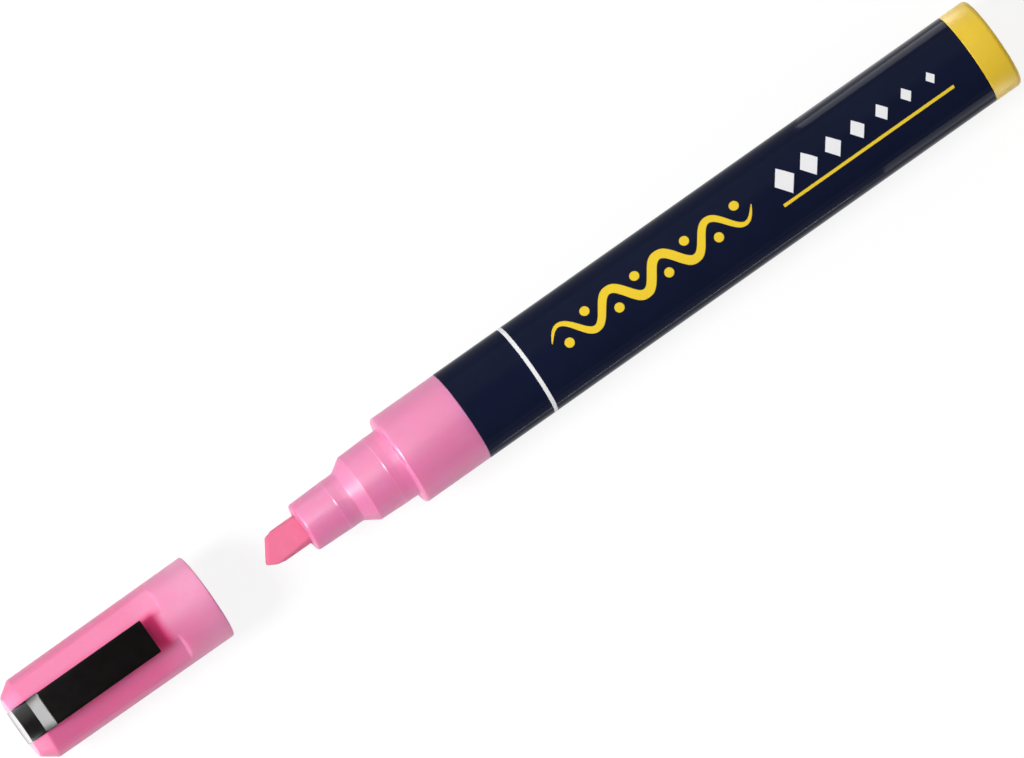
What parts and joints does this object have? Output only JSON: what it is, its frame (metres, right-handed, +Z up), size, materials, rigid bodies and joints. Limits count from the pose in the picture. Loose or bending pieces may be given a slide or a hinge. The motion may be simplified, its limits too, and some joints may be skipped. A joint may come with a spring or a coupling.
{
  "type": "liquid chalk marker",
  "caption": "Pump-valve liquid chalk marker with chisel nib, stepped nose, round barrel, tail plug and a pull-off cap with pocket clip.",
  "frame": {"origin": "on the surface that the marker lies on, below the middle of its length with the cap pulled off in line", "axes": "+X along the marker from the cap's closed end to the tail, +Z up towards the pocket clip"},
  "size_m": [0.1762, 0.015, 0.0169],
  "materials": {
    "barrel_navy": "gloss",
    "plug_yellow": "satin",
    "pink_plastic": "satin",
    "nib_felt": "fibre",
    "valve_plastic": "satin",
    "seal_rubber": "matt",
    "spring_steel": "drawn wire",
    "ball_steel": "polished",
    "liner_plastic": "natural",
    "clip_black": "gloss"
  },
  "bodies": {
    "marker": {"barrel": "barrel_navy", "tail_plug": "plug_yellow", "front_section": "pink_plastic", "valve_seat": "valve_plastic", "valve_case": "valve_plastic", "valve_spring": "spring_steel"},
    "writing_nib": {"nib": "nib_felt"},
    "valve_plunger": {"valve_rod": "valve_plastic", "valve_seal": "seal_rubber"},
    "ball": {"mixing_ball": "ball_steel"},
    "cap": {"cap_shell": "pink_plastic", "inner_cap": "liner_plastic", "clip_root": "clip_black"},
    "clip": {"clip_arm": "clip_black"}
  },
  "joints": [
    {"name": "cap_slide", "type": "slide", "parent": "marker", "child": "cap", "axis": [1, 0, 0], "range_m": [0, 0.03435]},
    {"name": "nib_press", "type": "slide", "parent": "marker", "child": "writing_nib", "axis": [1, 0, 0], "range_m": [0, 0.0024], "stiffness_N_per_m": 600, "deforming": ["valve_spring"]},
    {"name": "valve_open", "type": "slide", "parent": "marker", "child": "valve_plunger", "axis": [1, 0, 0], "range_m": [0, 0.0024]},
    {"name": "ball_roll", "type": "slide", "parent": "marker", "child": "ball", "axis": [1, 0, 0], "range_m": [-0.0485, 0.0187]},
    {"name": "clip_flex", "type": "hinge", "parent": "cap", "child": "clip", "pos_m": [-0.08565, 0, 0.01435], "axis": [0, -1, 0], "range_deg": [0, 4], "stiffness_Nm_per_rad": 0.5}
  ],
  "couplings": [
    {"joint": "valve_open", "follows": "nib_press", "ratio": 1}
  ]
}
